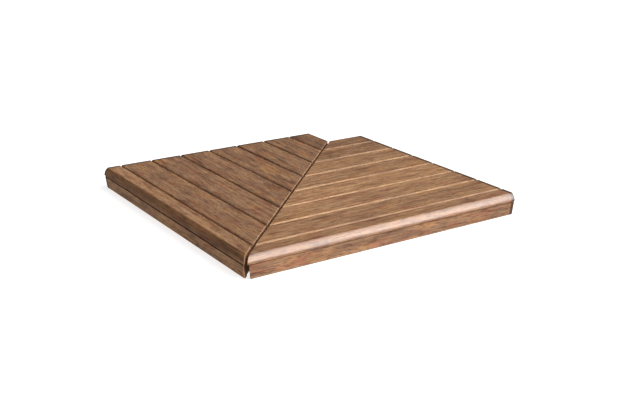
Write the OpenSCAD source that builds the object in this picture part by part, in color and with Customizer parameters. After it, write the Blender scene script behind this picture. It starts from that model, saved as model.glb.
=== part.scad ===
// Mitred corner section of a slatted hardwood spa surround.
// Two leaves of deck boards meet at 45 degrees. Each leaf carries its own nosing, fascia,
// under-frame, screws and bearing pads, and the right leaf lifts off by itself.
// The origin is the centre of the footprint, on the ground under the bearing pads.

/* [Plan] */
// Outer edge of the right leaf, from the outer corner to its free end
right_arm = 810; // [790:5:900]
// Outer edge of the left leaf, from the outer corner to its free end
left_arm = 800; // [790:5:900]
// Width of both leaves, from the outer edge to the side that meets the spa
arm_w = 688; // [680:1:700]
// Open gap between the two leaves, measured square to the mitre
mitre_gap = 6; // [4:0.5:8]

/* [Deck boards] */
// Width of a full deck board
board_w = 90; // [88:0.5:91]
// Thickness of the deck boards and of the nosing
board_t = 21; // [19:0.5:24]
// Drainage gap between deck boards
gap = 4; // [3:0.5:5]
// Rounded arris along the top edges of a deck board
arris_r = 3; // [1:0.5:4]

/* [Nosing] */
// Width of the nosing board
nosing_w = 49; // [46:0.5:52]
// Gap between the nosing and the first deck board
nosing_gap = 3; // [2:0.5:4]
// Radius of the rounded outer edge
nose_r = 23; // [22:0.5:30]
// Height of the upright lip under the rounded edge
lip_h = 1; // [0.5:0.5:3]

/* [Fascia] */
// Thickness of the fascia at its top edge
fascia_t = 20; // [18:0.5:22]
// Setback of the fascia's top edge under the nosing's lip
fascia_setback = 1; // [0.5:0.5:6]
// How far the fascia's face leans inwards from its top edge to the ground
fascia_lean = 6; // [0:0.5:7]
// Ground clearance of the fascia
fascia_clear = 1; // [1:0.5:4]
// Bevel on the fascia's lower outer arris
fascia_bevel = 2; // [0.5:0.5:3]
// Distance of the fascia's and rail's mitred ends from the middle of the mitre
fascia_back = 6; // [5:0.5:8]

/* [Under-frame] */
// Width of a batten
batten_w = 45; // [40:1:48]
// Depth of a batten, from the pads to the deck boards
batten_h = 36; // [30:1:45]
// Thickness of the rail behind the fascia
rail_t = 20; // [18:0.5:22]
// Distance of the end batten and the rail from the free end
end_inset = 15; // [12:1:22]
// Distance of the frame from the inner edge
inner_inset = 8; // [5:1:15]
// Distance of the mitre batten's near side from the middle of the mitre
mitre_inset = 10; // [9:0.5:14]
// Middle of the mid batten, measured from the outer corner
mid_u = 430; // [425:1:435]

/* [Fixings] */
// Diameter of the screws that hold the deck from below
deck_screw_d = 4.5; // [4:0.1:5]
// Length of the deck screws
deck_screw_l = 50; // [46:1:52]
// Diameter of the screws that join the rail to the battens
rail_screw_d = 5; // [4.5:0.1:5]
// Length of the rail screws
rail_screw_l = 60; // [50:1:60]
// Diameter of the screws that hold the fascia from behind
fascia_screw_d = 4; // [3.5:0.1:4.5]
// Length of the fascia screws
fascia_screw_l = 32; // [28:1:34]
// Distance between the nosing's screws
screw_pitch = 155; // [150:1:157]
// Diameter of a bearing pad
pad_d = 30; // [25:1:30]
// Thickness of a bearing pad
pad_t = 4; // [3:0.5:6]

/* [Hidden] */
$fn = 48;
boards = 7;            // deck boards behind the nosing, the last one ripped to fit
mid_boards = 3;        // how many of them the mid batten carries
cut = 1;               // how far a cutting tool passes a face
play = 0.05;           // clearance round a screw
screw_edge = 20;       // from a board's edge to its screws
first_screw_u = 90;    // from the outer corner to the nosing's first screw
nosing_screw_count = 5;
rail_screw_off = 10;   // from a batten's middle, or from mid height, to a rail screw
mitre_rail_off = 16;   // from where the mitre batten's middle meets the rail to its screws
drive_d = 3;           // across the corners of a screw's hexagon recess
drive_h = 1.6;         // depth of that recess
point_h = 4;           // length of a screw's point
first_pad_v = 97;      // from the outer edge to the mitre batten's first pad
end_pad_gaps = [1, 3, 6];
mid_pad_gaps = [1, 2];
mitre_pad_gaps = [3, 6];
run = sqrt(2);         // along the outer edge for each unit square to the mitre

frame_z = pad_t;
deck_z = frame_z + batten_h;
top_z = deck_z + board_t;
pitch = board_w + gap;
rail_v = fascia_setback + fascia_t;
batten_v = rail_v + rail_t;
inner_v = arm_w - inner_inset;
mitre_u = (mitre_inset + batten_w / 2) * run;
mitre_rail_u = batten_v + mitre_u + mitre_rail_off;
first_gap_v = nosing_w + nosing_gap / 2;

SIDES = ["left", "right"];
PIECES = ["nosing", "fascia", "front_rail", "end_batten", "mid_batten", "mitre_batten",
          "deck_screws", "rail_screws", "fascia_screws", "bearing_pads"];

// Every piece is drawn with its leaf's outer corner at the origin, the outer edge along +X
// (u) and the depth towards the spa along +Y (v).
function end_u(arm) = arm - end_inset - batten_w / 2;
function board_v(i) = nosing_w + nosing_gap + (i - 1) * pitch;
function board_width(i) = i < boards ? board_w : arm_w - board_v(boards);
function screw_vs(i) = [board_v(i) + screw_edge, board_v(i) + board_width(i) - screw_edge];
function gap_v(k) = first_gap_v + k * pitch;

// Screws that hold board i: two in the end batten, two in the mid batten under the outer
// boards, and two in the mitre batten, where the narrow last board has room for one.
function board_screws(arm, i) = concat(
    [for (v = screw_vs(i)) [end_u(arm), v]],
    [for (v = screw_vs(i)) if (i <= mid_boards) [mid_u, v]],
    [for (v = screw_vs(i)) if (i < boards || v == screw_vs(i)[0]) [v + mitre_u, v]]);
function nosing_screws() = [for (k = [0:nosing_screw_count - 1])
    [first_screw_u + k * screw_pitch, rail_v + rail_t / 2]];
function deck_screw_places(arm) =
    concat(nosing_screws(), [for (i = [1:boards], place = board_screws(arm, i)) place]);
function rail_screw_places(arm) = concat(
    [for (u = [mid_u, end_u(arm)], side = [-1, 1]) [u + side * rail_screw_off, 0]],
    [for (side = [-1, 1]) [mitre_rail_u, side * rail_screw_off]]);
function fascia_screw_us() = [for (k = [0:nosing_screw_count - 2])
    first_screw_u + (k + 0.5) * screw_pitch];
function pad_places(arm) = concat(
    [for (k = end_pad_gaps) [end_u(arm), gap_v(k)]],
    [for (k = mid_pad_gaps) [mid_u, gap_v(k)]],
    [for (v = concat(first_pad_v, [for (k = mitre_pad_gaps) gap_v(k)])) [v + mitre_u, v]]);

// A bar along +X with its section drawn in Y and Z
module bar(length) {
    rotate([90, 0, 90]) linear_extrude(length) children();
}

// Takes away all that lies nearer than back to the middle of the mitre
module mitred(back) {
    difference() {
        children();
        translate([back * run, 0, -cut]) rotate(45) translate([-arm_w, 0, 0])
            cube([3 * arm_w, 2 * arm_w, top_z + 2 * cut]);
    }
}

// Countersunk screw along +Z, its flat head at the origin
module screw(d, length) {
    head_h = d / 2;
    difference() {
        union() {
            cylinder(h = head_h, d1 = 2 * d, d2 = d);
            cylinder(h = length - point_h, d = d);
            translate([0, 0, length - point_h]) cylinder(h = point_h, d1 = d, d2 = d / 4);
        }
        translate([0, 0, -cut]) cylinder(h = drive_h + cut, d = drive_d, $fn = 6);
    }
}

// The countersunk hole that such a screw fills
module screw_hole(d, length) {
    cylinder(h = d / 2, d1 = 2 * d + 2 * play, d2 = d + 2 * play);
    translate([0, 0, -cut]) cylinder(h = cut, d = 2 * d + 2 * play);
    cylinder(h = length + play, d = d + 2 * play);
}

module at_deck_screws(places) {
    for (place = places) translate([place[0], place[1], frame_z]) children();
}

module at_rail_screws(arm) {
    for (place = rail_screw_places(arm))
        translate([place[0], rail_v, frame_z + batten_h / 2 + place[1]])
            rotate([-90, 0, 0]) children();
}

module at_fascia_screws() {
    for (u = fascia_screw_us())
        translate([u, batten_v, frame_z + batten_h / 2]) rotate([90, 0, 0]) children();
}

// Board section with both top arrises rounded
module board_section(width) {
    square([width, board_t - arris_r]);
    translate([arris_r, 0]) square([width - 2 * arris_r, board_t]);
    for (x = [arris_r, width - arris_r]) translate([x, board_t - arris_r]) circle(arris_r);
}

// Nosing section: a rounded outer edge over a small upright lip, and one rounded arris
module nosing_section() {
    intersection() {
        union() {
            square([nosing_w, lip_h]);
            translate([nose_r, 0]) square([nosing_w, board_t]);
            translate([nose_r, lip_h]) circle(nose_r, $fn = 96);
        }
        board_section(nosing_w + arris_r);
        union() {
            square([nosing_w - arris_r, board_t]);
            square([nosing_w, board_t - arris_r]);
            translate([nosing_w - arris_r, board_t - arris_r]) circle(arris_r);
        }
    }
}

// Fascia section: its face leans inwards, and its lower outer arris is bevelled
module fascia_section() {
    height = deck_z - fascia_clear;
    bevel_v = fascia_lean * (height - fascia_bevel) / height;
    polygon([[0, height], [bevel_v, fascia_bevel], [fascia_lean + fascia_bevel, 0],
             [fascia_t, 0], [fascia_t, height]]);
}

module nosing(arm) {
    color("peru") difference() {
        mitred(mitre_gap / 2) translate([0, 0, deck_z]) bar(arm) nosing_section();
        at_deck_screws(nosing_screws()) screw_hole(deck_screw_d, deck_screw_l);
    }
}

module deck_board(arm, i) {
    color("sienna") difference() {
        mitred(mitre_gap / 2) translate([0, board_v(i), deck_z])
            bar(arm) board_section(board_width(i));
        at_deck_screws(board_screws(arm, i)) screw_hole(deck_screw_d, deck_screw_l);
    }
}

module fascia(arm) {
    color("saddlebrown") difference() {
        mitred(fascia_back) translate([0, fascia_setback, fascia_clear]) bar(arm) fascia_section();
        at_fascia_screws() screw_hole(fascia_screw_d, fascia_screw_l);
    }
}

module front_rail(arm) {
    color("tan") difference() {
        mitred(fascia_back) translate([0, rail_v, frame_z])
            cube([arm - end_inset, rail_t, batten_h]);
        at_deck_screws(nosing_screws()) screw_hole(deck_screw_d, deck_screw_l);
        at_rail_screws(arm) screw_hole(rail_screw_d, rail_screw_l);
        at_fascia_screws() screw_hole(fascia_screw_d, fascia_screw_l);
    }
}

module end_batten(arm) {
    color("burlywood") difference() {
        translate([end_u(arm) - batten_w / 2, batten_v, frame_z])
            cube([batten_w, inner_v - batten_v, batten_h]);
        at_deck_screws(deck_screw_places(arm)) screw_hole(deck_screw_d, deck_screw_l);
        at_rail_screws(arm) screw_hole(rail_screw_d, rail_screw_l);
    }
}

// Square to the boards, with its inner end cut to meet the mitre batten's side
module mid_batten(arm) {
    color("burlywood") difference() {
        mitred(mitre_inset + batten_w) translate([mid_u - batten_w / 2, batten_v, frame_z])
            cube([batten_w, inner_v - batten_v, batten_h]);
        at_deck_screws(deck_screw_places(arm)) screw_hole(deck_screw_d, deck_screw_l);
        at_rail_screws(arm) screw_hole(rail_screw_d, rail_screw_l);
    }
}

// Along the mitre, cut off square to the rail, the inner edge and the end batten
module mitre_batten(arm) {
    color("burlywood") difference() {
        intersection() {
            translate([mitre_inset * run, 0, frame_z]) rotate(45) translate([0, -batten_w, 0])
                cube([2 * arm_w, batten_w, batten_h]);
            translate([0, batten_v, frame_z])
                cube([end_u(arm) - batten_w / 2, inner_v - batten_v, batten_h]);
        }
        at_deck_screws(deck_screw_places(arm)) screw_hole(deck_screw_d, deck_screw_l);
        at_rail_screws(arm) screw_hole(rail_screw_d, rail_screw_l);
    }
}

module deck_screws(arm) {
    color("silver") at_deck_screws(deck_screw_places(arm)) screw(deck_screw_d, deck_screw_l);
}

module rail_screws(arm) {
    color("silver") at_rail_screws(arm) screw(rail_screw_d, rail_screw_l);
}

module fascia_screws() {
    color("silver") at_fascia_screws() screw(fascia_screw_d, fascia_screw_l);
}

module bearing_pads(arm) {
    color("dimgray") for (place = pad_places(arm))
        translate([place[0], place[1], 0]) cylinder(h = pad_t, d = pad_d);
}

// One piece of a leaf by its name
module piece_of(piece, arm) {
    if (piece == "nosing") nosing(arm);
    if (piece == "fascia") fascia(arm);
    if (piece == "front_rail") front_rail(arm);
    if (piece == "end_batten") end_batten(arm);
    if (piece == "mid_batten") mid_batten(arm);
    if (piece == "mitre_batten") mitre_batten(arm);
    if (piece == "deck_screws") deck_screws(arm);
    if (piece == "rail_screws") rail_screws(arm);
    if (piece == "fascia_screws") fascia_screws();
    if (piece == "bearing_pads") bearing_pads(arm);
    for (i = [1:boards]) if (piece == str("deck_board_", i)) deck_board(arm, i);
}

// The right leaf's outer edge runs along +X and the left leaf's along +Y
module in_leaf(side) {
    translate([-right_arm / 2, -left_arm / 2, 0])
        if (side == "left") mirror([1, -1, 0]) children();
        else children();
}

module leaf_piece(side, piece) {
    in_leaf(side) piece_of(piece, side == "left" ? left_arm : right_arm);
}

for (side = SIDES, piece = PIECES)
    leaf_piece(side, piece);
for (side = SIDES, i = [1:boards])
    leaf_piece(side, str("deck_board_", i));
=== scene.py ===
# Corner section of a slatted hardwood spa cover: two leaves of oiled deck boards that meet
# in a mitre at the outer corner, each on its own under-frame. The sections follow the order
# in which a joiner puts a leaf together. Lengths are in metres.
import math
import random

import bmesh
import bpy
from mathutils import Matrix, Vector


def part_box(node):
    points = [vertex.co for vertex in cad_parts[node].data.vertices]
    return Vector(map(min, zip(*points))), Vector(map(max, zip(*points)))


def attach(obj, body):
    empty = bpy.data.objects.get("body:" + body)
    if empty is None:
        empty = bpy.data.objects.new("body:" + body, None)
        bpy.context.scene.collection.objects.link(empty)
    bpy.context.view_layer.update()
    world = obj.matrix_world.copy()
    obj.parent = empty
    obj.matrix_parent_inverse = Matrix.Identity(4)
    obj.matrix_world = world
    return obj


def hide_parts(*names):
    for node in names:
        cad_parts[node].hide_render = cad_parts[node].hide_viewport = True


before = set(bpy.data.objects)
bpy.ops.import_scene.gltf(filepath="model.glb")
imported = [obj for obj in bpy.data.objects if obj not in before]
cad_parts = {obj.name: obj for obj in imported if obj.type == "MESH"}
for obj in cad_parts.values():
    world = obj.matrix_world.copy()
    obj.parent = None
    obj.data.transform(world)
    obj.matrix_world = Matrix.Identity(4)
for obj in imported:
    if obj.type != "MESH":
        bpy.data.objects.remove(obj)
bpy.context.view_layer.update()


# ---------------------------------------------------------------- front rails
# The bar behind each fascia, which carries the nosing and ties the battens together. It is
# band-sawn tropical hardwood, left dry, with its sharp edges taken off with a block plane.
MM = 0.001
UP = Vector((0, 0, 1))
ALONG = Vector((1, 0, 0))  # along a leaf's outer edge, from the outer corner
INWARDS = Vector((0, 1, 0))  # from a leaf's outer edge towards the spa
MITRE = (INWARDS - ALONG).normalized()  # out of a leaf at its mitred end
LEAVES = {  # what takes a piece from the right leaf to its own: the left one is its mirror image
    "left": Matrix(((0, 1, 0, 0), (1, 0, 0, 0), (0, 0, 1, 0), (0, 0, 0, 1))),
    "right": Matrix.Identity(4),
}
PLANED_EDGE = 1 * MM
PLANED_STEPS = 2
CUT_TOLERANCE = 0.0001 * MM
SAME_POINT = 0.001 * MM  # points nearer to each other than this are one point
NARROW = 2 * MM  # a face narrower than this is part of a rounding
END_GRAIN_TURN = 0.6  # a face that looks this much along the grain shows the ends of the fibres
# the last three layers carry painted highlight and painted shade, besides wear and gloss
FACE_LAYERS = ("end_grain", "tone", "worn", "burnish", "grime")
LOG_LENGTH = 9
HEART_ASIDE = 70 * MM  # how far to either side of a piece the heart of its log may lie
HEART_BELOW = (50 * MM, 130 * MM)  # and the least and most that it lies below
PITH_LEAN = 0.012  # how fast the heart of the log runs out of line with a board
RING_WANDER = 30 * MM  # how far the growth rings stray from true circles
SAW_PITCH = 2.4 * MM
WAVE_PERIOD = math.tau / 20  # of the Wave Texture at a scale of 1
ROUND_STEPS = 24
HOLE_PLAY = 0.35 * MM  # between a screw's head and its countersink
SCREW_KINDS = {  # each kind's diameter and the way it is driven
    "deck_screws": (4.5 * MM, UP),
    "rail_screws": (5 * MM, INWARDS),
    "fascia_screws": (4 * MM, -INWARDS),
}


def leaf_box(side, name):
    """The lowest and highest corner of a leaf's piece, seen as if it were in the right leaf."""
    low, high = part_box(f"{side}_{name}")
    return LEAVES[side] @ low, LEAVES[side] @ high


def bar(low, high):
    """A square-edged bar between two corners."""
    bm = bmesh.new()
    bmesh.ops.create_cube(bm, size=1)
    bmesh.ops.scale(bm, vec=high - low, verts=bm.verts)
    bmesh.ops.translate(bm, vec=(low + high) / 2, verts=bm.verts)
    return bm


def saw(bm, point, outwards):
    """Saws off what lies outwards of a point, and closes the cut."""
    everything = [*bm.verts, *bm.edges, *bm.faces]
    cut = bmesh.ops.bisect_plane(
        bm, geom=everything, dist=CUT_TOLERANCE, plane_co=point, plane_no=outwards,
        clear_outer=True,
    )
    rim = [part for part in cut["geom_cut"] if isinstance(part, bmesh.types.BMEdge)]
    bmesh.ops.contextual_create(bm, geom=rim)


def ease(bm, edges, radius, segments):
    """Rounds edges over."""
    bmesh.ops.bevel(
        bm, geom=edges, offset=radius, offset_type="OFFSET", segments=segments,
        profile=0.5, affect="EDGES", material=-1, clamp_overlap=True,
    )


def lay_grain(bm, along, heart, start, tone, rounding_wear_and_highlight):
    """Stores each point's place in the log: along it, and from its heart in both directions.
    The ends of the fibres, the piece's tone, and the wear and painted highlight of its roundings go
    with the faces. So do the nosing's gloss with its painted shade and the painted shade of grooves
    and free ends, which a piece's own section puts where they belong."""
    across = UP.cross(along)
    grain = bm.verts.layers.float_vector.new("grain")
    for vert in bm.verts:
        reach = vert.co - heart
        down_log = reach.dot(along)
        lean = PITH_LEAN * down_log
        vert[grain] = (start + down_log, reach.dot(across) - lean, reach.z + lean)
    end_grain, board_tone, worn, *_ = (bm.faces.layers.float.new(name) for name in FACE_LAYERS)
    bm.normal_update()
    for face in bm.faces:
        face.smooth = face.calc_area() < NARROW * max(edge.calc_length() for edge in face.edges)
        face[end_grain] = float(abs(face.normal.dot(along)) > END_GRAIN_TURN)
        face[board_tone] = tone
        face[worn] = rounding_wear_and_highlight if face.smooth else 0.0


def fit(bm, side, name, material):
    """Turns a piece into its own leaf's place, where it stands for the CAD piece."""
    bmesh.ops.transform(bm, matrix=LEAVES[side], verts=bm.verts)
    bmesh.ops.recalc_face_normals(bm, faces=bm.faces)
    mesh = bpy.data.meshes.new(f"{side}_leaf.{name}")
    bm.to_mesh(mesh)
    bm.free()
    mesh.materials.append(material)
    piece = bpy.data.objects.new(mesh.name, mesh)
    bpy.context.scene.collection.objects.link(piece)
    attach(piece, f"{side}_leaf")
    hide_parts(f"{side}_{name}")


def colour(code):
    """An sRGB hex code as the linear colour that a node takes."""
    parts = [int(code[k:k + 2], 16) / 255 for k in (1, 3, 5)]
    return (*(c / 12.92 if c <= 0.04045 else ((c + 0.055) / 1.055) ** 2.4 for c in parts), 1)


def add(tree, kind, inputs, **settings):
    """Adds a node. Each input is a value, or another node's output that is linked to it."""
    node = tree.nodes.new("ShaderNode" + kind)
    for name, value in settings.items():
        setattr(node, name, value)
    for socket, value in inputs.items():
        if isinstance(value, bpy.types.NodeSocket):
            tree.links.new(value, node.inputs[socket])
        else:
            node.inputs[socket].default_value = value
    return node


def new_material(name, roughness, ior):
    """A material of one shader, with the values that are the same all over it."""
    material = bpy.data.materials.new(name)
    material.use_nodes = True
    shader = material.node_tree.nodes["Principled BSDF"]
    shader.inputs["Roughness"].default_value = roughness
    shader.inputs["IOR"].default_value = ior
    return material, material.node_tree, shader


def wood_figure(tree, ring_width):
    """The patterns of a hardwood board, each from 0 to 1, laid out along its own log. A
    pattern's spots are drawn out along the grain, and its numbers are their width in
    millimetres, how many times as long they are, and the noise's detail. The fibres and pores
    are a few times as wide as real ones, which are too fine to show."""
    grain = add(tree, "Attribute", {}, attribute_name="grain").outputs["Vector"]
    spots = {
        "wander": (90, 8, 2), "blotch": (60, 2.5, 2), "patch": (22, 4, 3), "blush": (14, 5, 3),
        "ribbon": (9, 30, 2), "fleck": (5, 5, 3), "fibre": (2.2, 22, 4), "pore": (1.1, 12, 1),
    }
    figure = {"grain": grain}
    for number, (name, (width, length, detail)) in enumerate(spots.items()):
        drawn = add(tree, "Mapping", {1: (number, number, 0), 0: grain, 3: (1 / length, 1, 1)})
        noise = {"Vector": drawn.outputs[0], "Scale": 1 / (width * MM), "Detail": detail}
        figure[name] = add(tree, "TexNoise", noise).outputs[0]
    section = add(tree, "VectorMath", {0: grain, 1: (0, 1, 1)}, operation="MULTIPLY")
    radius = add(tree, "VectorMath", {0: section.outputs[0]}, operation="LENGTH").outputs[1]
    wander = {0: figure["wander"], 1: RING_WANDER, 2: radius}
    bent = add(tree, "Math", wander, operation="MULTIPLY_ADD")
    rings = add(tree, "Math", {0: bent.outputs[0], 1: ring_width}, operation="DIVIDE")
    figure["ring"] = add(tree, "Math", {0: rings.outputs[0]}, operation="FRACT").outputs[0]
    for name in FACE_LAYERS:
        figure[name] = add(tree, "Attribute", {}, attribute_name=name).outputs["Fac"]
    return figure


def tint(tree, wood, figure, layers):
    """Lays colours over a wood. A layer has its pattern, the values of the pattern where the
    colour starts and where it is full, how much of it is laid, how it mixes, and the colour."""
    for pattern, start, full, amount, how, code in layers:
        mask = add(tree, "MapRange", {0: figure[pattern], 1: start, 2: full, 3: 0, 4: amount})
        mix = {0: mask.outputs[0], 6: wood, 7: colour(code)}
        wood = add(tree, "Mix", mix, data_type="RGBA", blend_type=how).outputs[2]
    return wood


# Dry band-sawn hardwood: pale, dull and fuzzy, with the saw's fine ridges across it, so the
# underside looks lighter and rougher than the deck. The ridges are drawn coarser than real.
def sawn_hardwood():
    material, tree, shader = new_material("sawn dry hardwood", roughness=0.8, ior=1.5)
    figure = wood_figure(tree, ring_width=5 * MM)
    wood = tint(tree, colour("#A98259"), figure, (
        ("patch", 0.35, 0.65, 0.7, "MIX", "#8C6846"),
        ("blush", 0.45, 0.7, 0.4, "MIX", "#9A6A4C"),
        ("ring", 0.4, 1.0, 0.45, "MULTIPLY", "#8E6A4C"),
        ("fibre", 0.45, 0.7, 0.5, "MULTIPLY", "#8F6E52"),
        ("pore", 0.6, 0.68, 0.7, "MULTIPLY", "#5C4330"),
        ("end_grain", 0.0, 1.0, 0.6, "MULTIPLY", "#8A6848"),
        ("worn", 0.0, 1.0, 0.3, "SCREEN", "#7A624C"),
    ))
    teeth = {
        "Vector": figure["grain"], "Scale": WAVE_PERIOD / SAW_PITCH, "Distortion": 1.5, "Detail": 2,
    }
    ridges = add(tree, "TexWave", teeth, wave_type="BANDS", bands_direction="X")
    fuzz = {0: ridges.outputs[1], 1: 0.5, 2: figure["fibre"]}
    fuzz = add(tree, "Math", fuzz, operation="MULTIPLY_ADD")
    bump = add(tree, "Bump", {"Strength": 0.6, "Distance": 0.25 * MM, "Height": fuzz.outputs[0]})
    tree.links.new(wood, shader.inputs["Base Color"])
    tree.links.new(bump.outputs[0], shader.inputs["Normal"])
    return material


SAWN_HARDWOOD = sawn_hardwood()
saw_bench = random.Random(3)


def sawn_from_log(bm, along, low, high, tone, rounding_wear_and_highlight):
    """Gives a piece its place in a log: how far its heart lies below and to one side."""
    middle = (low + high) / 2
    aside = UP.cross(along) * saw_bench.uniform(-HEART_ASIDE, HEART_ASIDE)
    heart = middle + aside - UP * saw_bench.uniform(*HEART_BELOW)
    lay_grain(bm, along, heart, saw_bench.uniform(0, LOG_LENGTH), tone, rounding_wear_and_highlight)


def separate_solids(side, name):
    """The box of each solid in a CAD node that holds several, seen as in the right leaf."""
    bm = bmesh.new()
    bm.from_mesh(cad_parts[f"{side}_{name}"].data)
    bmesh.ops.transform(bm, matrix=LEAVES[side], verts=bm.verts)
    bmesh.ops.remove_doubles(bm, verts=bm.verts, dist=SAME_POINT)
    unseen = set(bm.verts)
    boxes = []
    while unseen:
        solid, fresh = set(), {unseen.pop()}
        while fresh:
            solid |= fresh
            fresh = {edge.other_vert(v) for v in fresh for edge in v.link_edges} - solid
        unseen -= solid
        sides = [[v.co[axis] for v in solid] for axis in range(3)]
        boxes.append((Vector(map(min, sides)), Vector(map(max, sides))))
    bm.free()
    return sorted(boxes, key=lambda box: tuple(box[0]))


def screw_places(side, kind):
    """Where each screw's head is and how long the screw is."""
    _, axis = SCREW_KINDS[kind]
    places = []
    for low, high in separate_solids(side, kind):
        middle, half = (low + high) / 2, abs((high - low).dot(axis)) / 2
        places.append((middle - axis * half, 2 * half))
    return places


def countersunk(bm, side):
    """The bar with a countersink for each screw head that sits in it. The cones that cut them
    are twice as deep, so their outer halves stand clear of the wood."""
    holes = bmesh.new()
    for kind, (diameter, axis) in SCREW_KINDS.items():
        depth = diameter + HOLE_PLAY
        turned = axis.to_track_quat("Z", "Y").to_matrix().to_4x4()
        for head, _ in screw_places(side, kind):
            cone = Matrix.Translation(head) @ turned
            bmesh.ops.create_cone(
                holes, cap_ends=True, segments=ROUND_STEPS, radius1=2 * depth, radius2=0,
                depth=2 * depth, matrix=cone,
            )
    meshes = [bpy.data.meshes.new(name) for name in ("bar", "holes")]
    for shape, mesh in zip((bm, holes), meshes):
        shape.to_mesh(mesh)
        shape.free()
    stock, cutter = (bpy.data.objects.new(mesh.name, mesh) for mesh in meshes)
    for thing in (stock, cutter):
        bpy.context.scene.collection.objects.link(thing)
    drill = stock.modifiers.new("countersinks", "BOOLEAN")
    drill.operation = "DIFFERENCE"
    drill.solver = "EXACT"
    drill.object = cutter
    drilled = bmesh.new()
    drilled.from_object(stock, bpy.context.evaluated_depsgraph_get())
    for thing in (stock, cutter):
        bpy.data.objects.remove(thing)
    for mesh in meshes:
        bpy.data.meshes.remove(mesh)
    return drilled


def fit_to_frame(bm, side, name, along, low, high):
    """Planes the sharp edges off a bar of the frame, countersinks it and fits it."""
    ease(bm, bm.edges[:], PLANED_EDGE, PLANED_STEPS)
    bm = countersunk(bm, side)
    sawn_from_log(bm, along, low, high, tone=0.5, rounding_wear_and_highlight=1)
    fit(bm, side, name, SAWN_HARDWOOD)


for side in LEAVES:
    low, high = leaf_box(side, "front_rail")
    rail = bar(low, high)
    saw(rail, low, MITRE)
    fit_to_frame(rail, side, "front_rail", ALONG, low, high)


# ---------------------------------------------------------------- battens
# Three bars of the same sawn hardwood in each leaf: one under the free ends, one under the
# middle and one along the mitre. Their ends are sawn to meet the rail and each other.
for side in LEAVES:
    low, high = leaf_box(side, "end_batten")
    batten_width = high.x - low.x
    fit_to_frame(bar(low, high), side, "end_batten", INWARDS, low, high)

    low, high = leaf_box(side, "mid_batten")
    batten = bar(low, high)
    saw(batten, high, MITRE)
    fit_to_frame(batten, side, "mid_batten", INWARDS, low, high)

    low, high = leaf_box(side, "mitre_batten")
    batten = bar(low, high)
    saw(batten, low, MITRE)
    saw(batten, low - MITRE * batten_width, -MITRE)
    fit_to_frame(batten, side, "mitre_batten", (ALONG + INWARDS).normalized(), low, high)


# ---------------------------------------------------------------- fascias
# The board that closes each outer side below the nosing. It is planed hardwood, its face
# leans in towards the ground, and it is screwed from behind so that no screw shows.
FASCIA_LEAN = 6 * MM
FASCIA_BEVEL = 2 * MM
FREE_END_R = 1.2 * MM
MITRED_END_R = 3 * MM
END_STEPS = 3
SCORE_INSET = 11 * MM
# how dark the painted shade along each free end is
END_PAINTED_SHADE = 0.75
NEAR = 0.01 * MM
SQUARELY = 0.999  # a face looks squarely one way if this much of its normal lies that way,
MOSTLY = 0.9  # mostly that way with this much,
SLIGHTLY = 0.1  # and slightly with this much


def lengthwise_edges(bm, y, z):
    """The edges of a bar that run along it at a distance inwards and a height."""
    return [
        edge for edge in bm.edges
        if all(abs(v.co.y - y) + abs(v.co.z - z) < NEAR for v in edge.verts)
    ]


def ease_ends(bm, low, high, is_shown):
    """Rounds over the edges of the free end and, more, of the mitred end, where the side next
    to them has a normal that is_shown accepts. A line scored round the bar near each end keeps
    the shading of its long roundings straight."""
    for end, outwards, radius in ((high, ALONG, FREE_END_R), (low, MITRE, MITRED_END_R)):
        everything = [*bm.verts, *bm.edges, *bm.faces]
        scored = end - outwards * SCORE_INSET
        bmesh.ops.bisect_plane(
            bm, geom=everything, dist=CUT_TOLERANCE, plane_co=scored, plane_no=outwards
        )
        bmesh.ops.recalc_face_normals(bm, faces=bm.faces)
        ends = {face for face in bm.faces if face.normal.dot(outwards) > SQUARELY}
        shown = {face for face in bm.faces if is_shown(face.normal)} - ends
        rim = [e for e in bm.edges if ends & {*e.link_faces} and shown & {*e.link_faces}]
        ease(bm, rim, radius, END_STEPS)
    bmesh.ops.dissolve_degenerate(bm, dist=SAME_POINT, edges=bm.edges)


def shade_free_end(bm, high):
    """Darkens the free end as far as the scored line, as painted shade."""
    grime = bm.faces.layers.float["grime"]
    for face in bm.faces:
        face[grime] = END_PAINTED_SHADE * (face.calc_center_median().x > high.x - SCORE_INSET)


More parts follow.
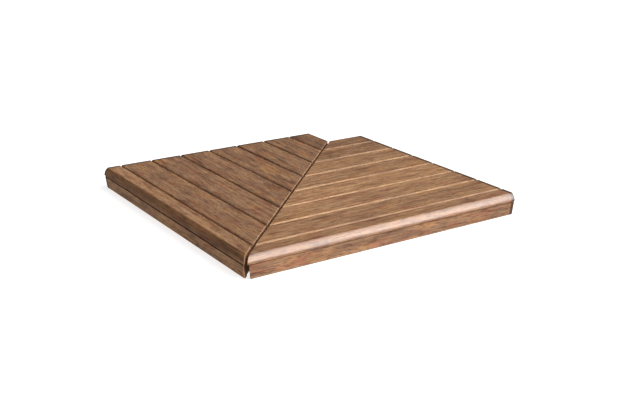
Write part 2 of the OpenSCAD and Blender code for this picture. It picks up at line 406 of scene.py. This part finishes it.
# Planed tropical hardwood that has soaked up one coat of decking oil: mid brown, with red and
# tan patches, dark open pores and a dull sheen that turns glossy where a cutter rubbed it.
def oiled_hardwood(name, deep, pale, roughness):
    material, tree, shader = new_material(name, roughness, ior=1.5)
    shader.inputs["Specular IOR Level"].default_value = 0.3
    shader.inputs["Coat Roughness"].default_value = 0.35
    shader.inputs["Coat IOR"].default_value = 1.7
    figure = wood_figure(tree, ring_width=6 * MM)
    tree.links.new(figure["burnish"], shader.inputs["Coat Weight"])
    board = {0: figure["tone"], 6: colour(deep), 7: colour(pale)}
    board = add(tree, "Mix", board, data_type="RGBA").outputs[2]
    wood = tint(tree, board, figure, (
        ("blotch", 0.58, 0.8, 0.5, "MIX", "#C08848"),
        ("blotch", 0.44, 0.26, 0.4, "MIX", "#8C5844"),
        ("patch", 0.5, 0.72, 0.5, "MIX", "#BC8C58"),
        ("patch", 0.48, 0.28, 0.5, "MULTIPLY", "#A08478"),
        ("blush", 0.5, 0.7, 0.5, "MIX", "#99563A"),
        ("fleck", 0.5, 0.7, 0.5, "SCREEN", "#4C4238"),
        ("fleck", 0.5, 0.3, 0.5, "MULTIPLY", "#8C7468"),
        ("ribbon", 0.5, 0.72, 0.4, "SCREEN", "#4A3A2C"),
        ("ribbon", 0.5, 0.28, 0.4, "MULTIPLY", "#967A6A"),
        ("ring", 0.55, 1.0, 0.35, "MULTIPLY", "#8A6A58"),
        ("fibre", 0.5, 0.7, 0.6, "MULTIPLY", "#86685A"),
        ("pore", 0.6, 0.68, 0.7, "MULTIPLY", "#4E3526"),
        ("end_grain", 0.0, 1.0, 0.3, "MULTIPLY", "#8A6A54"),
        # wear, and painted highlight: lightens the roundings, most of all the right leaf's long
        # board edges and the mitred ends
        ("worn", 0.0, 2.0, 0.8, "SCREEN", "#8A6E58"),
        # painted shade: darkens the nosing's round-over, whose coat is also glossier
        ("burnish", 0.0, 1.0, 1.0, "MULTIPLY", "#E4CEA4"),
        # painted shade: darkens the fascia's groove under the nosing and each free end
        ("grime", 0.0, 1.0, 0.95, "MULTIPLY", "#382E28"),
    ))
    relief = {0: figure["pore"], 1: -0.6, 2: figure["fibre"]}
    relief = add(tree, "Math", relief, operation="MULTIPLY_ADD")
    bump = add(tree, "Bump", {"Strength": 0.5, "Distance": 0.12 * MM, "Height": relief.outputs[0]})
    gloss = {0: figure["patch"], 1: 0.3, 2: 0.7, 3: roughness - 0.05, 4: roughness + 0.06}
    gloss = add(tree, "MapRange", gloss)
    tree.links.new(wood, shader.inputs["Base Color"])
    tree.links.new(gloss.outputs[0], shader.inputs["Roughness"])
    tree.links.new(bump.outputs[0], shader.inputs["Normal"])
    return material


FASCIA_HARDWOOD = oiled_hardwood("oiled hardwood fascia", "#7E5E46", "#B08660", roughness=0.65)

# The bevel along the fascia's top leaves a groove under the nosing, and its faces are painted
# darker as painted shade, much more on the left leaf, away from the light, than on the right.
for side, tone, groove, groove_shade in (("left", 0.72, 5 * MM, 0.9), ("right", 0.15, 3 * MM, 0.25)):
    low, high = leaf_box(side, "fascia")
    fascia = bar(low, high)
    foot = [v for v in fascia.verts if v.co.y < high.y - NARROW and v.co.z < high.z - NARROW]
    bmesh.ops.translate(fascia, vec=INWARDS * FASCIA_LEAN, verts=foot)
    saw(fascia, low, MITRE)
    ease(fascia, lengthwise_edges(fascia, low.y + FASCIA_LEAN, low.z), FASCIA_BEVEL, 1)
    ease(fascia, lengthwise_edges(fascia, low.y, high.z), groove, 1)
    ease_ends(fascia, low, high, lambda normal: normal.y < -SLIGHTLY)
    sawn_from_log(fascia, ALONG, low, high, tone, rounding_wear_and_highlight=0.6)
    shade_free_end(fascia, high)
    grime = fascia.faces.layers.float["grime"]
    for face in fascia.faces:
        if face.normal.dot((UP - INWARDS).normalized()) > MOSTLY:
            face[grime] = groove_shade
    fit(fascia, side, "fascia", FASCIA_HARDWOOD)


# ---------------------------------------------------------------- nosings
# The outermost board of each leaf, in the same hardwood. Its outer edge is run over a large
# round-over cutter that leaves a small upright lip below and a soft crease along the top.
NOSE_R = 23 * MM
NOSE_STEPS = 14
LIP = 1 * MM
ARRIS = 3 * MM
ARRIS_STEPS = 4


def nosing_blank(low, high):
    """The nosing's section, drawn round its rounded edge and drawn out to its length."""
    bm = bmesh.new()
    lip_z = low.z + LIP
    lip = bm.verts.new((low.x, low.y, lip_z))
    rise = math.asin((high.z - lip_z) / NOSE_R)
    bmesh.ops.spin(
        bm, geom=[lip], cent=(low.x, low.y + NOSE_R, lip_z), axis=ALONG, angle=-rise,
        steps=NOSE_STEPS,
    )
    crease = max(bm.verts, key=lambda v: v.co.z)
    corners = [(high.y, high.z), (high.y, low.z), (low.y, low.z)]
    chain = [crease, *(bm.verts.new((low.x, y, z)) for y, z in corners), lip]
    for start, end in zip(chain, chain[1:]):
        bm.edges.new((start, end))
    section = bmesh.ops.contextual_create(bm, geom=bm.edges[:])["faces"]
    drawn = bmesh.ops.extrude_face_region(bm, geom=section, use_keep_orig=True)["geom"]
    far = [part for part in drawn if isinstance(part, bmesh.types.BMVert)]
    bmesh.ops.translate(bm, vec=ALONG * (high.x - low.x), verts=far)
    return bm


NOSING_HARDWOOD = oiled_hardwood("oiled hardwood nosing", "#8A6850", "#C49870", roughness=0.6)

for side, tone in (("left", 0.58), ("right", 0.48)):
    low, high = leaf_box(side, "nosing")
    nosing = nosing_blank(low, high)
    saw(nosing, low, MITRE)
    ease(nosing, lengthwise_edges(nosing, high.y, high.z), ARRIS, ARRIS_STEPS)
    ease_ends(nosing, low, high, lambda normal: normal.z > -SQUARELY and normal.y < SQUARELY)
    sawn_from_log(nosing, ALONG, low, high, tone, rounding_wear_and_highlight=0)
    shade_free_end(nosing, high)
    burnish = nosing.faces.layers.float["burnish"]
    for face in nosing.faces:  # the round-over is glossier, and painted darker as painted shade
        face[burnish] = float(face.smooth and face.calc_center_median().y < low.y + NOSE_R)
    fit(nosing, side, "nosing", NOSING_HARDWOOD)


# ---------------------------------------------------------------- deck boards
# Seven planed and oiled hardwood boards in each leaf with their top edges rounded over, cut
# square at the free end and at 45 degrees at the mitre. The last is ripped narrower to fit.
OUTER_ARRIS = 5 * MM  # the planer rounds the edge on the outer side more
INNER_ARRIS = 1.5 * MM
SHARP_EDGE = 0.8 * MM  # the light rounding that sandpaper leaves on a planed edge
BOARD_TONES_AND_SHEEN = {  # from the nosing inwards; besides each board's own tone, the right leaf's boards are set paler than the left leaf's as a painted sheen
    "left": (0.28, 0.28, 0.24, 0.26, 0.26, 0.24, 0.0),
    "right": (0.56, 0.68, 0.88, 0.62, 0.64, 0.38, 0.12),
}

BOARD_HARDWOOD = oiled_hardwood("oiled hardwood decking", "#866650", "#C69A70", roughness=0.65)

for side, painted_edge_highlight in (("left", 0.0), ("right", 1.3)):
    for number, tone in enumerate(BOARD_TONES_AND_SHEEN[side], 1):
        low, high = leaf_box(side, f"deck_board_{number}")
        board = bar(low, high)
        saw(board, low, MITRE)
        for y, radius in ((low.y, OUTER_ARRIS), (high.y, INNER_ARRIS)):
            ease(board, lengthwise_edges(board, y, high.z), radius, ARRIS_STEPS)
            ease(board, lengthwise_edges(board, y, low.z), SHARP_EDGE, 1)
        ease_ends(board, low, high, lambda normal: normal.z > SLIGHTLY)
        sawn_from_log(board, ALONG, low, high, tone, rounding_wear_and_highlight=1)
        shade_free_end(board, high)
        worn = board.faces.layers.float["worn"]
        for face in board.faces:  # a painted highlight lightens the right leaf's long board edges, and the left leaf's get none
            if abs(face.normal.dot(ALONG)) < SLIGHTLY and abs(face.normal.z) < SQUARELY:
                face[worn] = painted_edge_highlight
        fit(board, side, f"deck_board_{number}", BOARD_HARDWOOD)


# ---------------------------------------------------------------- screws
# Countersunk stainless wood screws with a six-lobe drive and a rolled thread. The deck's go up
# through the frame, the rail's through it into the battens, the fascia's from behind the rail.
LOBES = 6
THREAD_STEPS = 12
SUNK = 0.3 * MM  # how far a head is driven below the wood
DRIVE_DEPTH = 1.6 * MM  # to the recess's floor
DRIVE_WALL = 1.5 * MM  # to where its wall ends
HEAD_EDGE = 0.15 * MM
HEAD_RIM = 0.3 * MM
SHOULDER = 0.5 * MM  # between the plain shank and the thread
TIP = 4 * MM
THREAD_ROOT = 0.2 * MM  # how deep the thread's flanks start in the core
TURN_STEP = math.tau / 7  # how much further each screw has turned than the one before


def next_ring(bm, ring, radius, depth, lobe=0.0):
    """Extrudes a ring of edges to a radius and depth. A lobed ring waves in and out."""
    grown = bmesh.ops.extrude_edge_only(bm, edges=ring)["geom"]
    for vert in (part for part in grown if isinstance(part, bmesh.types.BMVert)):
        turn = math.atan2(vert.co.y, vert.co.x)
        reach = radius + lobe * math.cos(LOBES * turn)
        vert.co = (reach * math.cos(turn), reach * math.sin(turn), depth)
    return [part for part in grown if isinstance(part, bmesh.types.BMEdge)]


def one_screw(diameter, length):
    """A screw along +Z, with its head's face at the origin."""
    bm = bmesh.new()
    drive = 0.3 * diameter  # from the axis to the middle of a lobe's wave
    lobe = 0.04 * diameter
    shank = 0.4 * diameter
    core = 0.34 * diameter
    thread_start = 0.4 * length
    bmesh.ops.create_circle(bm, segments=ROUND_STEPS, radius=0.8 * drive, cap_ends=False)
    ring = bm.edges[:]
    for vert in bm.verts:
        vert.co.z = DRIVE_DEPTH
    bmesh.ops.contextual_create(bm, geom=ring)
    shape = (
        (drive, DRIVE_WALL, lobe), (drive, HEAD_EDGE, lobe), (drive + HEAD_EDGE, 0, lobe),
        (0.96 * diameter, 0, 0), (diameter, HEAD_EDGE, 0), (diameter, HEAD_RIM, 0),
        (0.42 * diameter, diameter / 2, 0), (shank, thread_start, 0),
        (core, thread_start + SHOULDER, 0), (core, length - TIP, 0), (0.1 * diameter, length, 0),
    )
    for radius, depth, wave in shape:
        ring = next_ring(bm, ring, radius, depth, wave)
    bmesh.ops.contextual_create(bm, geom=ring)
    pitch = 0.5 * diameter
    turns = int((length - TIP - thread_start) / pitch)
    root, half = core - THREAD_ROOT, 0.2 * pitch
    flank = [(root, -half), (0.5 * diameter, 0), (root, half)]
    corners = [bm.verts.new((x, 0, thread_start + 0.5 * pitch + z)) for x, z in flank]
    section = bm.faces.new(corners)
    first_edges = section.edges[:]
    far_end = bmesh.ops.spin(
        bm, geom=first_edges, axis=UP, angle=math.tau * turns, steps=THREAD_STEPS * turns,
        dvec=UP * pitch / THREAD_STEPS,
    )["geom_last"]
    bmesh.ops.contextual_create(bm, geom=[p for p in far_end if isinstance(p, bmesh.types.BMEdge)])
    bmesh.ops.recalc_face_normals(bm, faces=bm.faces)
    for face in bm.faces:
        face.smooth = abs(face.normal.z) < MOSTLY
    mesh = bpy.data.meshes.new("one screw")
    bm.to_mesh(mesh)
    bm.free()
    return mesh


# A2 stainless steel, cold-headed and passivated: a satin grey metal with faint tool marks,
# which are drawn coarser than real.
def satin_stainless():
    material, tree, shader = new_material("satin stainless steel", roughness=0.34, ior=1.5)
    place = add(tree, "TexCoord", {}).outputs["Object"]
    marks = {"Vector": place, "Scale": 1 / (0.8 * MM), "Detail": 3}
    marks = add(tree, "TexNoise", marks).outputs[0]
    stain = {"Vector": place, "Scale": 1 / (9 * MM), "Detail": 2}
    stain = add(tree, "TexNoise", stain).outputs[0]
    steel = {0: stain, 6: colour("#B9B6B0"), 7: colour("#D2D0CB")}
    steel = add(tree, "Mix", steel, data_type="RGBA")
    gloss = add(tree, "MapRange", {0: marks, 1: 0.3, 2: 0.7, 3: 0.26, 4: 0.42})
    bump = add(tree, "Bump", {"Strength": 0.3, "Distance": 0.03 * MM, "Height": marks})
    tree.links.new(steel.outputs[2], shader.inputs["Base Color"])
    tree.links.new(gloss.outputs[0], shader.inputs["Roughness"])
    tree.links.new(bump.outputs[0], shader.inputs["Normal"])
    shader.inputs["Metallic"].default_value = 1
    return material


SATIN_STAINLESS = satin_stainless()

for kind, (diameter, axis) in SCREW_KINDS.items():
    turned = axis.to_track_quat("Z", "Y").to_matrix().to_4x4()
    for side in LEAVES:
        group = bmesh.new()
        for number, (head, length) in enumerate(screw_places(side, kind)):
            template = one_screw(diameter, length - SUNK)
            twist = Matrix.Rotation(number * TURN_STEP, 4, "Z")
            first = len(group.verts)
            group.from_mesh(template)
            group.verts.ensure_lookup_table()
            place = Matrix.Translation(head + axis * SUNK) @ turned @ twist
            bmesh.ops.transform(group, matrix=place, verts=group.verts[first:])
            bpy.data.meshes.remove(template)
        fit(group, side, kind, SATIN_STAINLESS)


# ---------------------------------------------------------------- bearing pads
# Round rubber pads glued under the battens that keep the wood out of the wet. They are moulded
# with a bevelled rim, and with a ring-shaped groove and a hollow underneath that grip.
PAD_STEPS = 40
GROOVE = 1 * MM
RIM = 0.93  # where the rim's bevel ends, as a share of the pad's radius
UNDERSIDE = (  # the radii where the underside steps, as shares, and whether it is in a groove
    (RIM, 0), (0.78, 0), (0.72, 1), (0.6, 1), (0.54, 0), (0.4, 0), (0.34, 1), (0, 1),
)


# EPDM rubber, moulded and slightly bloomed: nearly black and dull, with a fine grit that is
# drawn coarser than real.
def black_rubber():
    material, tree, shader = new_material("moulded EPDM rubber", roughness=0.75, ior=1.52)
    place = add(tree, "TexCoord", {}).outputs["Object"]
    grit = add(tree, "TexNoise", {"Vector": place, "Scale": 1 / (0.7 * MM), "Detail": 3}).outputs[0]
    bloom = add(tree, "TexNoise", {"Vector": place, "Scale": 1 / (12 * MM), "Detail": 4}).outputs[0]
    faded = add(tree, "MapRange", {0: bloom, 1: 0.4, 2: 0.75})
    rubber = {0: faded.outputs[0], 6: colour("#212225"), 7: colour("#4A4A4A")}
    rubber = add(tree, "Mix", rubber, data_type="RGBA")
    bump = add(tree, "Bump", {"Strength": 0.5, "Distance": 0.1 * MM, "Height": grit})
    tree.links.new(rubber.outputs[2], shader.inputs["Base Color"])
    tree.links.new(bump.outputs[0], shader.inputs["Normal"])
    return material


BLACK_RUBBER = black_rubber()

for side in LEAVES:
    pads = bmesh.new()
    for low, high in separate_solids(side, "bearing_pads"):
        middle = (low + high) / 2
        radius, height = (high.x - low.x) / 2, high.z - low.z
        section = [(0, height), (RIM * radius, height), (radius, height - GROOVE), (radius, GROOVE)]
        section += [(share * radius, grooved * GROOVE) for share, grooved in UNDERSIDE]
        outline = [pads.verts.new(middle + Vector((r, 0, z - height / 2))) for r, z in section]
        edges = [pads.edges.new(pair) for pair in zip(outline, outline[1:])]
        bmesh.ops.spin(
            pads, geom=edges, cent=middle, axis=UP, angle=math.tau, steps=PAD_STEPS, use_merge=True
        )
    bmesh.ops.remove_doubles(pads, verts=pads.verts, dist=NEAR)
    fit(pads, side, "bearing_pads", BLACK_RUBBER)


# ---------------------------------------------------------------- studio
# A plain white floor, a large softbox and a low strip light at the front right, a dim room,
# and the camera.
FLOOR_SIZE = 60
FLOOR_GLOW = 0.8
ROOM_GLOW = 0.1
SOFTBOXES = (  # how bright each is, how many degrees across, and the way to it
    ("large softbox", 5.0, 70, Vector((0.505, -0.645, 0.574))),
    ("low strip light", 0.9, 40, Vector((0.52, -0.83, 0.2))),
)
LENS = 59.1  # millimetres
CAMERA_PLACE = (-1.4193, -2.2146, 0.8993)
CAMERA_DOWN = 19.157  # degrees below level
CAMERA_RIGHT = 33.15  # degrees to the right of +Y

floor_mesh = bmesh.new()
bmesh.ops.create_grid(floor_mesh, x_segments=1, y_segments=1, size=FLOOR_SIZE / 2)
floor = bpy.data.objects.new("floor", bpy.data.meshes.new("floor"))
floor_mesh.to_mesh(floor.data)
floor_mesh.free()
bpy.context.scene.collection.objects.link(floor)
floor_paint, _, floor_shader = new_material("lit opal acrylic", roughness=0.9, ior=1.49)
floor_shader.inputs["Base Color"].default_value = colour("#BCBCBC")
floor_shader.inputs["Emission Color"].default_value = colour("#FFFFFF")
floor_shader.inputs["Emission Strength"].default_value = FLOOR_GLOW
floor.data.materials.append(floor_paint)
floor.visible_glossy = False

for name, energy, spread, towards in SOFTBOXES:
    softbox = bpy.data.lights.new(name, "SUN")
    softbox.energy = energy
    softbox.angle = math.radians(spread)
    softbox_stand = bpy.data.objects.new(name, softbox)
    softbox_stand.rotation_euler = towards.to_track_quat("Z", "Y").to_euler()
    bpy.context.scene.collection.objects.link(softbox_stand)

room = bpy.data.worlds.new("room")
room.use_nodes = True
room_air = room.node_tree.nodes["Background"]
room_air.inputs["Color"].default_value = colour("#FFFFFF")
room_air.inputs["Strength"].default_value = ROOM_GLOW
bpy.context.scene.world = room
bpy.context.scene.view_settings.view_transform = "Standard"

lens = bpy.data.cameras.new("camera")
lens.lens = LENS
camera = bpy.data.objects.new("camera", lens)
camera.location = CAMERA_PLACE
camera.rotation_euler = (math.radians(90 - CAMERA_DOWN), 0, math.radians(-CAMERA_RIGHT))
bpy.context.scene.collection.objects.link(camera)
bpy.context.scene.camera = camera
